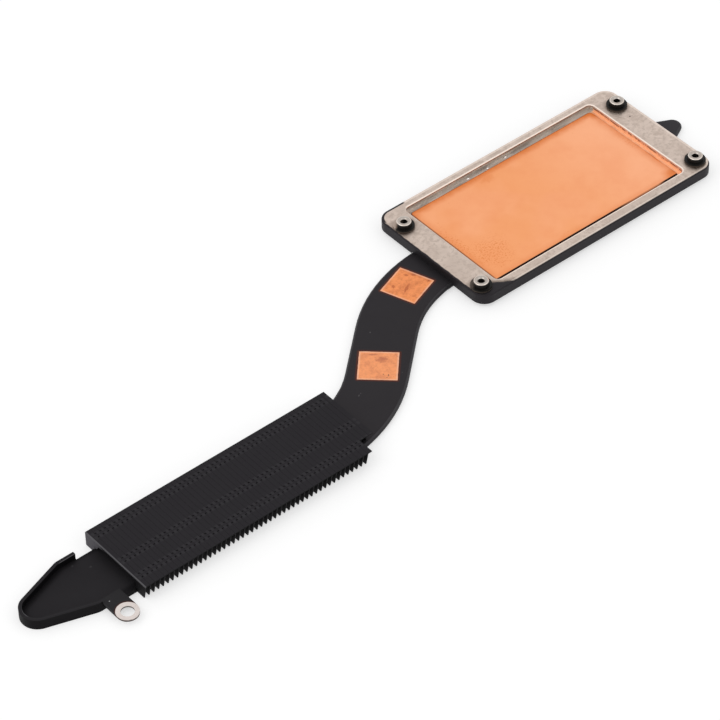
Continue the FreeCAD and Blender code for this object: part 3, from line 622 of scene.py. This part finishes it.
class HEATSINK_OT_cold_plate(bpy.types.Operator):
    """Gives the cold plate its bare copper, warmer and marked towards its edges"""
    bl_idname = "heatsink.cold_plate"
    bl_label = "Finish the cold plate"

    def execute(self, context):
        finish = context.scene.heatsink_finish
        material, wiring, shader, where = new_material("plate_copper")
        worn = worn_metal(wiring, where, 95.0, 700.0, 1000.0)
        x, y, z = wiring.split(where)
        beyond = beyond_outline(wiring, where, PLATE_HIGH, PLATE_CORNER)
        inset = wiring.stray(beyond, wiring.wander(where, 420.0, 4.0, 0.65), 1.5)

        # Painted sheen: the face grows paler towards the nose; random clouds make it paler too.
        cloud = wiring.ramp(wiring.noise(where, 70.0, 3.0), 0.40, 0.62)
        pale = wiring.most(wiring.step(x, -6, 24), wiring.share(cloud, 0.45))
        face = wiring.tint(pale, finish.copper, finish.pale_copper_and_sheen)
        rear_side = wiring.step(y, -3, -1, PLATE_HIGH.y)
        nose_side = wiring.step(x, -3, -2, PLATE_HIGH.x)
        near_edge = wiring.both(
            wiring.step(inset, -2.3, -0.1), wiring.level(rear_side, 0.40, 0.9),
            wiring.level(nose_side, 1.0, 1.2))
        grit = wiring.ramp(wiring.noise(where, 2900.0, 2.0, 0.6), 0.49, 0.62)
        speckled = wiring.both(wiring.most(worn["Speck"], grit), blots(wiring, where, PLATE_SPECKLES))
        edge_specks = wiring.both(worn["Speck"], wiring.step(inset, -5, -1))
        tarnish = wiring.most(
            wiring.share(worn["Cloud"], 0.14), near_edge, wiring.share(edge_specks, 0.45),
            wiring.share(speckled, 0.7), wiring.share(blots(wiring, where, PLATE_TINGE), 0.4),
            wiring.share(blots(wiring, where, PLATE_WARMTH, 1.0, 0.7), 0.9))

        line = wiring.both(
            wiring.step(beyond, -0.30, -0.14), wiring.level(wiring.noise(where, 600.0, 3.0), 0.3, 1.0),
            wiring.step(x, -0.4, -0.8, PLATE_HIGH.x))
        # Painted shade of the gap under the frame's edge: a dark band along the plate's front edge, fainter
        # for a stretch towards the nose, and faintly along its left edge.
        closed = wiring.both(wiring.step(x, 7, 12), wiring.step(x, 20, 18))
        front_gap = wiring.both(wiring.step(y, 0.50, 0.36, PLATE_LOW.y), wiring.level(closed, 1.0, 0.4))
        left_gap = wiring.step(x, 0.42, 0.26, PLATE_LOW.x)
        gap = wiring.most(front_gap, wiring.share(left_gap, 0.3))
        tone = wiring.coats(
            face, (tarnish, finish.warm_copper), (line, finish.copper_crust, 0.75), (gap, finish.gap_shade))
        wiring.fill(shader, {
            "Base Color": tone, "Roughness": wiring.level(worn["Cloud"], 0.36, 0.44), "Metallic": 1.0,
            "Normal": bump(wiring, worn["Scratch"], 0.12, 0.01)})
        dress("cold_plate", material)
        return {"FINISHED"}


class HEATSINK_OT_clamp_frame(bpy.types.Operator):
    """Leaves the clamp frame's top and window bare steel, and paints its sides and underside black"""
    bl_idname = "heatsink.clamp_frame"
    bl_label = "Finish the clamp frame"

    def execute(self, context):
        finish = context.scene.heatsink_finish
        material, wiring, shader, where = new_material("frame_steel")
        tone, rough, normal = painted(wiring, where, finish.paint, finish)
        x, y, z = wiring.split(where)
        wander = wiring.wander(where, 650.0, 3.0)
        height = wiring.minus(z, FRAME_HIGH.z)
        from_window = beyond_outline(wiring, where, WINDOW_HALF, WINDOW_CORNER)
        from_outside = beyond_outline(wiring, wiring.placed(where, FRAME_MIDDLE), FRAME_HALF, FRAME_CORNER)

        # The top and the window are bare, apart from the paint that creeps over the outer edges.
        top = wiring.step(wiring.stray(height, wander, 0.10), -0.16, -0.04)
        in_window = wiring.both(
            wiring.step(from_window, 0.3, 0.25), wiring.step(z, -0.1, -0.05, PLATE_LOW.z))
        creep_line = wiring.plus(wiring.share(wiring.step(x, -19.8, -26.5), 2.8 * MM), -15.85 * MM)
        creep_reach = wiring.stray(wiring.minus(creep_line, y), wander, 1.2)
        creep = wiring.step(creep_reach, -0.15, 0.3)
        from_left = wiring.stray(wiring.minus(x, FRAME_LOW.x), wander, 0.35)
        left_creep = wiring.step(from_left, 0.40, 0.20)
        rear_lip = wiring.both(
            wiring.step(from_outside, -0.62, -0.46), wiring.step(y, 12.0, 13.0), wiring.step(x, -22.5, -23.1))
        front_lip = wiring.both(wiring.step(from_outside, -0.30, -0.18), wiring.step(y, -14.0, -14.8))
        lips = wiring.most(creep, left_creep, rear_lip, front_lip)
        bare = wiring.both(wiring.most(top, in_window), wiring.without(lips))

        # The top: stains, a ring of painted shade round each post, pits, and brown beside the creeping paint.
        worn = worn_metal(wiring, wiring.placed(where, (0, 0, 0), math.radians(35)), 640.0, 1100.0, 620.0)
        patches = wiring.ramp(wiring.noise(where, 170.0, 3.0, 0.6), 0.40, 0.66)
        grit = wiring.ramp(wiring.noise(where, 1150.0, 4.0, 0.7), 0.46, 0.62)
        stain = wiring.most(
            wiring.share(worn["Cloud"], 0.55), wiring.share(worn["Speck"], 0.5),
            wiring.share(worn["Scratch"], 0.45), wiring.share(patches, 0.4), wiring.share(grit, 0.65))
        post_shade = wiring.step(wiring.stray(from_nearest_post(wiring, x, y), wander, 0.8), 3.1, 2.0)
        pits = blots(wiring, where, FRAME_PITS, 1.0, 0.6)
        browned = wiring.step(creep_reach, -1.0, 0.0)
        steel = wiring.coats(
            finish.steel, (stain, finish.steel_stain), (post_shade, finish.steel_stain_and_shade, 0.6),
            (pits, finish.gap_shade), (browned, finish.steel_stain_and_shade, 0.75))

        # The window: its walls and ledge, with streaks along the rear wall and a line of painted shade under
        # its edge.
        wall = wiring.both(wiring.step(height, -0.12, -0.24), wiring.step(from_window, 0.3, 0.25))
        rear = wiring.step(y, -0.4, 0.2, PLATE_HIGH.y)
        left = wiring.step(x, 0, -0.4, PLATE_LOW.x)
        nose_side = wiring.both(wiring.step(x, -0.1, 0.1, PLATE_HIGH.x), wiring.without(rear))
        wall_tone = wiring.tint(rear, finish.window_side, finish.window_wall)
        ledge = wiring.both(wiring.step(height, -1.10, -1.22), wall)
        streaks = wiring.noise(wiring.placed(where, (0, 0, 0), 0.0, (7, 1, 1)), 1300.0, 3.0, 0.6)
        dull_streak = wiring.both(wall, wiring.ramp(streaks, 0.50, 0.36), wiring.without(nose_side))
        pale_streak = wiring.both(wall, wiring.ramp(streaks, 0.54, 0.66), rear)
        under_line = wiring.both(wiring.step(height, -0.14, -0.20), wiring.step(height, -0.40, -0.28), rear)
        steel = wiring.coats(
            steel, (wall, wall_tone, 0.9), (ledge, finish.window_ledge, 0.9),
            (dull_streak, finish.steel_stain_and_shade, 0.4), (pale_streak, finish.pale_steel_and_highlight, 0.5),
            (under_line, finish.steel_stain_and_shade, 0.85))

        # The wall at the nose: copper run up it to a broken brown line, and pale steel above.
        nose_wall = wiring.both(nose_side, wall)
        flux_height = wiring.stray(height, wander, 0.5)
        flux = wiring.both(nose_wall, wiring.step(flux_height, -0.36, -0.50))
        crumbs = wiring.ramp(wiring.noise(where, 1000.0, 3.0, 0.6), 0.38, 0.56)
        flux_line = wiring.both(flux, wiring.step(flux_height, -0.90, -0.65), crumbs)

        # Painted highlights: bright lines along the edges, over all the rest.
        inner_line = wiring.both(
            wiring.step(from_window, 0.32, 0.22), wiring.step(height, -0.15, -0.10),
            wiring.level(left, 0.9, 0.12))
        outer_line = wiring.both(
            wiring.step(from_outside, -0.66, -0.54), wiring.step(height, -0.10, -0.05),
            wiring.step(x, 0.8, 1.2, FRAME_LOW.x))
        lit = wiring.most(inner_line, wiring.share(outer_line, 0.45))
        steel = wiring.coats(
            steel, (nose_wall, finish.pale_steel_and_highlight, 0.7), (flux, finish.flux_copper),
            (flux_line, finish.copper_crust, 0.8), (lit, finish.pale_steel_and_highlight))
        wiring.fill(shader, {
            "Base Color": wiring.tint(bare, tone, steel),
            "Metallic": wiring.both(bare, wiring.level(wall, 1.0, 0.45), wiring.level(flux, 1.0, 2.0)),
            "Roughness": wiring.level(bare, rough, wiring.level(worn["Cloud"], 0.34, 0.5)),
            "Normal": normal, "Specular IOR Level": FRAME_GLOSS, "Specular Tint": PAINT_SHEEN})
        dress("clamp_frame", material)
        return {"FINISHED"}


class HEATSINK_OT_threaded_posts(bpy.types.Operator):
    """Blackens the threaded posts and leaves their turned ends bright"""
    bl_idname = "heatsink.threaded_posts"
    bl_label = "Finish the threaded posts"

    def execute(self, context):
        finish = context.scene.heatsink_finish
        material, wiring, shader, where = new_material("post_steel")
        x, y, z = wiring.split(where)
        from_axis = from_nearest_post(wiring, x, y)
        bright = wiring.both(wiring.step(from_axis, 1.46, 1.40), wiring.step(z, -0.22, -0.16, POST_TOP))
        worn = worn_metal(wiring, where, 900.0, 1500.0, 1500.0)
        # Painted highlight: a bright ring round the edge of each turned end.
        rim = wiring.both(wiring.step(from_axis, 1.20, 1.30), wiring.step(from_axis, 1.50, 1.40))
        steel = wiring.coats(
            finish.post_steel, (worn["Cloud"], finish.steel_stain, 0.5), (rim, finish.pale_steel_and_highlight, 0.55))

        # Painted light: the rear of the left posts is lit, in steel colours; each post's foot, more faintly,
        # turns towards the darker steel.
        side_x = wiring.signed_offset(x, POST_MIDDLE.x, POST_HALF[0])
        side_y = wiring.signed_offset(y, POST_MIDDLE.y, POST_HALF[1])
        across = wiring.minus(wiring.share(side_x, 0.3), side_y)
        rear_left = wiring.both(wiring.step(x, 0, -1), wiring.level(wiring.step(y, -2, 2), 0.3, 1.0))
        lit = wiring.both(wiring.step(across, -0.3, -1.0), rear_left)
        foot = wiring.step(z, 0.36, 0.18, FRAME_HIGH.z)
        worn_off = wiring.most(wiring.share(foot, 0.4), lit)
        worn_tone = wiring.tint(lit, finish.steel_stain_and_shade, finish.steel_stain)
        dull = wiring.tint(worn_off, finish.oxide_and_hole_shade, worn_tone)
        wiring.fill(shader, {
            "Base Color": wiring.tint(bright, dull, steel),
            "Roughness": wiring.level(bright, 0.5, wiring.level(worn["Cloud"], 0.24, 0.38)),
            "Metallic": wiring.level(wiring.most(bright, lit), 0.35, 1.0),
            "Specular IOR Level": POST_GLOSS})
        dress("threaded_posts", material)
        return {"FINISHED"}


class HEATSINK_OT_fins(bpy.types.Operator):
    """Paints the hooked fins black, with painted light that makes them a little paler on top and on the
    stack's outer face
    """
    bl_idname = "heatsink.fins"
    bl_label = "Finish the fins"

    def execute(self, context):
        finish = context.scene.heatsink_finish
        material, wiring, shader, where = new_material("fin_paint")
        # Painted shade: the walls are a darker black than the tops.
        upward = facing_up(wiring)
        base = wiring.tint(upward, finish.painted_wall_shade, finish.fin_paint)
        tone, rough, normal = painted(wiring, where, base, finish, 3600.0, (0.55, 0.75))
        x, y, z = wiring.split(where)
        # Painted light: the first fin's outer face is made pale as if lit.
        outer = wiring.both(
            wiring.step(x, 0.10, 0.04, FIRST_FIN_LOW.x), wiring.step(y, -5.4, -3.6, FIRST_FIN_HIGH.y))
        # Painted highlight: a pale line along the first fin's fold.
        fold = wiring.both(
            wiring.step(x, 0.26, 0.14, FIRST_FIN_LOW.x), wiring.step(z, -0.30, -0.16, FIRST_FIN_HIGH.z))

        # Painted highlights: beside each row of tongues, the sheet between two fins is a little paler.
        rows = 0.0
        for share in HOOK_SHARES:
            from_row = wiring.math("ABSOLUTE", wiring.minus(y, FIRST_FIN_HIGH.y - share * FIN_DEPTH))
            row = wiring.both(wiring.step(from_row, 1.05, 0.75), wiring.step(from_row, 0.05, 0.25))
            rows = wiring.most(row, rows)
        in_pitch = wiring.math("FRACT", wiring.math("DIVIDE", wiring.minus(x, FIRST_FIN_LOW.x), FIN_PITCH))
        row_highlights = wiring.both(
            rows, wiring.ramp(in_pitch, 0.30, 0.45), wiring.ramp(in_pitch, 0.98, 0.82), upward)
        tone = wiring.coats(
            tone, (row_highlights, finish.worn_paint_and_highlight, 0.22), (outer, finish.lit_fin_face), (fold, finish.fold_highlight, 0.9))
        wiring.fill(shader, {
            "Base Color": tone, "Roughness": rough, "Normal": normal,
            "Specular IOR Level": FIN_GLOSS, "Specular Tint": PAINT_SHEEN})
        for node in FIN_NODES:
            dress(node, material)
        self.add_flap(context, material)
        return {"FINISHED"}

    def add_flap(self, context, material):
        """The corner of the first fin's recess, bent inwards. Its outer face runs from the recess's side, by
        u times its reach, and from its upper edge, by v times a drop that shrinks with u squared. It leans
        in by v squared."""
        u, v = np.meshgrid(np.linspace(0, FLAP_END, FLAP_GRID[0]), np.linspace(0, 1, FLAP_GRID[1]))
        side = FIN_RECESS_SIDE - u * FLAP_REACH
        rise = FIN_RECESS_TOP - v * (1 - u ** 2) * FLAP_DROP
        outer = np.stack([FIRST_FIN_LOW.x + FLAP_LEAN * v ** 2, side, rise], -1)
        inner = outer + np.array([FLAP_SHEET, 0, 0])
        flap = add_piece(context, "slot_flap", *thick_sheet(outer, inner), material)
        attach(flap, "root")


class HEATSINK_OT_tail(bpy.types.Operator):
    """Paints the tail tray, and the screw tab up to the bare ring round its hole"""
    bl_idname = "heatsink.tail"
    bl_label = "Finish the tail tray and screw tab"

    def execute(self, context):
        finish = context.scene.heatsink_finish
        self.paint_tray(finish)
        self.paint_tab(finish)
        return {"FINISHED"}

    def paint_tray(self, finish):
        """The tray's outline is the larger of a round tip with tapered sides and straight sides. A painted
        highlight follows the rim's inner edge, and painted shade darkens the floor beside it."""
        material, wiring, shader, where = new_material("tray_paint")
        # Painted shade: the walls are a darker black than the floor and the rim's top.
        base = wiring.tint(facing_up(wiring), finish.painted_wall_shade, finish.tray_paint)
        tone, rough, normal = painted(wiring, where, base, finish)
        x, y, z = wiring.split(wiring.placed(where, TRAY_TIP))
        aside = wiring.math("ABSOLUTE", y)
        slope = math.radians(TRAY_TAPER)
        along_side = wiring.minus(wiring.share(aside, math.cos(slope)), wiring.share(x, math.sin(slope)))
        round_tip = wiring.step(wiring.plus(x, wiring.share(aside, math.tan(slope))), 0.02, -0.02)
        reach = wiring.level(round_tip, along_side, wiring.distance(x, aside))
        reach = wiring.most(reach, wiring.minus(aside, TRAY_HALF - TRAY_TIP_RADIUS))
        from_inner_edge = wiring.minus(reach, TRAY_TIP_RADIUS - TRAY_RIM)
        on_rim = wiring.step(wiring.minus(z, TRAY_HIGH.z - TRAY_TIP.z), -0.14, -0.04)
        line = wiring.both(wiring.step(wiring.math("ABSOLUTE", from_inner_edge), 0.17, 0.06), on_rim)
        front = wiring.step(wiring.split(where)[1], 0, -1, TRAY_TIP.y)
        line = wiring.both(line, wiring.level(front, 0.75, 0.05))
        shade = wiring.both(wiring.step(from_inner_edge, -1.3, -0.05), wiring.without(on_rim))
        tone = wiring.coats(
            tone, (line, finish.fold_highlight), (shade, finish.painted_wall_shade, 0.7),
            (blots(wiring, where, TRAY_DUST), finish.dust, 0.05))
        wiring.fill(shader, {
            "Base Color": tone, "Roughness": rough, "Normal": normal,
            "Specular IOR Level": TRAY_GLOSS, "Specular Tint": PAINT_SHEEN})
        dress("tail_tray", material)

    def paint_tab(self, finish):
        material, wiring, shader, where = new_material("tab_steel")
        tone, rough, normal = painted(wiring, where, finish.tray_paint, finish)
        x, y, z = wiring.split(wiring.placed(where, TAB_HOLE))
        top = TAB_HIGH.z - TAB_HOLE.z
        reach = wiring.stray(wiring.distance(x, y), wiring.wander(where, 2200.0), 0.12)
        ring = wiring.step(reach, 0.04, -0.04, TAB_HALF)
        brown_border = wiring.step(reach, 0.30, 0.12, TAB_HALF)
        left_edge = wiring.both(wiring.step(x, 0.22, 0.10, -TAB_HALF), wiring.step(z, -0.1, -0.04, top))
        tone = wiring.coats(
            tone, (brown_border, finish.field_border, 0.6), (left_edge, finish.worn_paint_and_highlight, 0.4),
            (blots(wiring, where, TAB_DOTS, 1.0, 0.4), finish.dust))
        # Painted shade: the wall of the hole is darkened.
        in_hole = wiring.step(z, -0.08, -0.16, top)
        metal = wiring.coats(
            finish.tinned, (wiring.noise(where, 900.0, 3.0), finish.steel_stain, 0.35),
            (in_hole, finish.oxide_and_hole_shade, 0.85))
        wiring.fill(shader, {
            "Base Color": wiring.tint(ring, tone, metal), "Metallic": wiring.share(ring, 0.9),
            "Roughness": wiring.level(ring, rough, 0.38), "Normal": normal, "Specular IOR Level": TAB_GLOSS})
        dress("screw_tab", material)


class HEATSINK_OT_solder(bpy.types.Operator):
    """Adds the small beads of solder on the ledge behind the cold plate"""
    bl_idname = "heatsink.solder"
    bl_label = "Add the solder beads"

    def execute(self, context):
        finish, radius = context.scene.heatsink_finish, context.scene.heatsink_marks.bead_radius
        material, wiring, shader, where = new_material("solder")
        cloud = wiring.noise(where, 4000.0, 2.0)
        wiring.fill(shader, {
            "Base Color": wiring.tint(cloud, finish.solder, finish.tinned),
            "Roughness": wiring.level(cloud, 0.16, 0.3), "Metallic": 1.0})

        unit, parts = egg()
        points, faces = [], []
        for number, (x, y, size) in enumerate(BEADS):
            centre = np.array((x * MM, y * MM, LEDGE + BEAD_RISE * radius))
            points.append(unit * (np.array(BEAD_SHAPE) * size * radius) + centre)
            for part in parts:
                faces += (part + number * len(unit)).tolist()
        beads = add_piece(context, "solder_beads", np.concatenate(points), faces, material)
        beads.data.shade_smooth()
        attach(beads, "root")
        return {"FINISHED"}


def place_camera(context, stage):
    """A camera at its place, turned so that the picture's right and top point as given."""
    data = bpy.data.cameras.new("photo_camera")
    data.sensor_fit = "HORIZONTAL"
    data.sensor_width = 36.0
    data.lens = stage.camera_lens
    data.clip_start = 0.01
    data.clip_end = 20.0
    camera = bpy.data.objects.new("photo_camera", data)
    right = Vector(stage.camera_right).normalized()
    up = Vector(stage.camera_up)
    up = (up - up.project(right)).normalized()
    turn = Matrix((right, up, right.cross(up))).transposed().to_4x4()
    camera.matrix_world = Matrix.Translation(stage.camera_place) @ turn
    context.scene.collection.objects.link(camera)
    context.scene.camera = camera


def place_lamp(context, name, place, size, power):
    """A square soft lamp that faces the object."""
    data = bpy.data.lights.new(name, "AREA")
    data.size = size
    data.energy = power
    lamp = bpy.data.objects.new(name, data)
    aim = (Vector(LAMP_TARGET) - Vector(place)).to_track_quat("-Z", "Y")
    lamp.matrix_world = Matrix.Translation(place) @ aim.to_matrix().to_4x4()
    context.scene.collection.objects.link(lamp)


def seen_directly(wiring):
    """1 for what the camera sees, also in a mirror or through glass, and 0 for light on the object."""
    path = wiring.add("ShaderNodeLightPath").outputs
    return wiring.most(path["Is Camera Ray"], path["Is Glossy Ray"], path["Is Transmission Ray"])


def place_floor(context, stage):
    """A pale floor just below the object, white where it is seen, that can be seen through from below."""
    material = bpy.data.materials.new("floor")
    wiring = blank_tree(material)
    matt = wiring.add("ShaderNodeBsdfDiffuse", {"Color": stage.floor_colour})
    strength = wiring.share(seen_directly(wiring), stage.floor_glow)
    glow = wiring.add("ShaderNodeEmission", {"Strength": strength})
    upper = wiring.add("ShaderNodeAddShader", {0: matt.outputs[0], 1: glow.outputs[0]})
    clear = wiring.add("ShaderNodeBsdfTransparent")
    from_below = wiring.add("ShaderNodeNewGeometry").outputs["Backfacing"]
    one_sided = wiring.add("ShaderNodeMixShader", {0: from_below, 1: upper.outputs[0], 2: clear.outputs[0]})
    wiring.add("ShaderNodeOutputMaterial", {"Surface": one_sided.outputs[0]})

    half = stage.floor_size / 2
    ground = CAD_BOX[0][2] - FLOOR_GAP
    around = ((-half, -half), (half, -half), (half, half), (-half, half))
    corners = np.array([(x, y, ground) for x, y in around])
    floor = add_piece(context, "floor", corners, [(0, 1, 2, 3)], material)


def place_sky(context, stage):
    """White surroundings where they are seen, and a weaker even light."""
    world = bpy.data.worlds.new("studio")
    context.scene.world = world
    wiring = blank_tree(world)
    strength = wiring.level(seen_directly(wiring), stage.sky_light, 1.0)
    sky = wiring.add("ShaderNodeBackground", {"Color": (1, 1, 1, 1), "Strength": strength})
    wiring.add("ShaderNodeOutputWorld", {"Surface": sky.outputs[0]})


class HEATSINK_OT_stage(bpy.types.Operator):
    """Sets up the camera, the pale floor, the white surroundings and the soft lamps"""
    bl_idname = "heatsink.stage"
    bl_label = "Set up the stage"

    def execute(self, context):
        stage = context.scene.heatsink_stage
        context.scene.view_settings.view_transform = "Standard"
        place_camera(context, stage)
        place_floor(context, stage)
        place_sky(context, stage)
        place_lamp(context, "key_lamp", *KEY_LAMP, stage.key_power)
        place_lamp(context, "fill_lamp", *FILL_LAMP, stage.fill_power)
        return {"FINISHED"}


class HEATSINK_PT_steps(bpy.types.Panel):
    """Lists the heatsink's finishes and its stage"""
    bl_idname = "HEATSINK_PT_steps"
    bl_label = "Heatsink"
    bl_space_type = "VIEW_3D"
    bl_region_type = "UI"
    bl_category = "Heatsink"

    def draw(self, context):
        for step in STEPS:
            self.layout.operator(step.bl_idname)
        for group in SETTINGS:
            settings = getattr(context.scene, group)
            box = self.layout.box()
            for name in settings.bl_rna.properties.keys():
                if name not in ("rna_type", "name"):
                    box.prop(settings, name)


STEPS = (
    HEATSINK_OT_heat_pipe, HEATSINK_OT_cold_plate, HEATSINK_OT_clamp_frame, HEATSINK_OT_threaded_posts,
    HEATSINK_OT_fins, HEATSINK_OT_tail, HEATSINK_OT_solder, HEATSINK_OT_stage,
)
SETTINGS = {
    "heatsink_finish": HeatsinkFinish, "heatsink_marks": HeatsinkMarks, "heatsink_stage": HeatsinkStage}


def register():
    for entry in (*SETTINGS.values(), *STEPS, HEATSINK_PT_steps):
        bpy.utils.register_class(entry)
    for name, kind in SETTINGS.items():
        setattr(bpy.types.Scene, name, PointerProperty(type=kind))


def unregister():
    for name in SETTINGS:
        delattr(bpy.types.Scene, name)
    for entry in (HEATSINK_PT_steps, *reversed(STEPS), *reversed(SETTINGS.values())):
        bpy.utils.unregister_class(entry)


def main():
    register()
    bpy.ops.heatsink.heat_pipe()
    bpy.ops.heatsink.cold_plate()
    bpy.ops.heatsink.clamp_frame()
    bpy.ops.heatsink.threaded_posts()
    bpy.ops.heatsink.fins()
    bpy.ops.heatsink.tail()
    bpy.ops.heatsink.solder()
    bpy.ops.heatsink.stage()


if __name__ == "__main__":
    main()
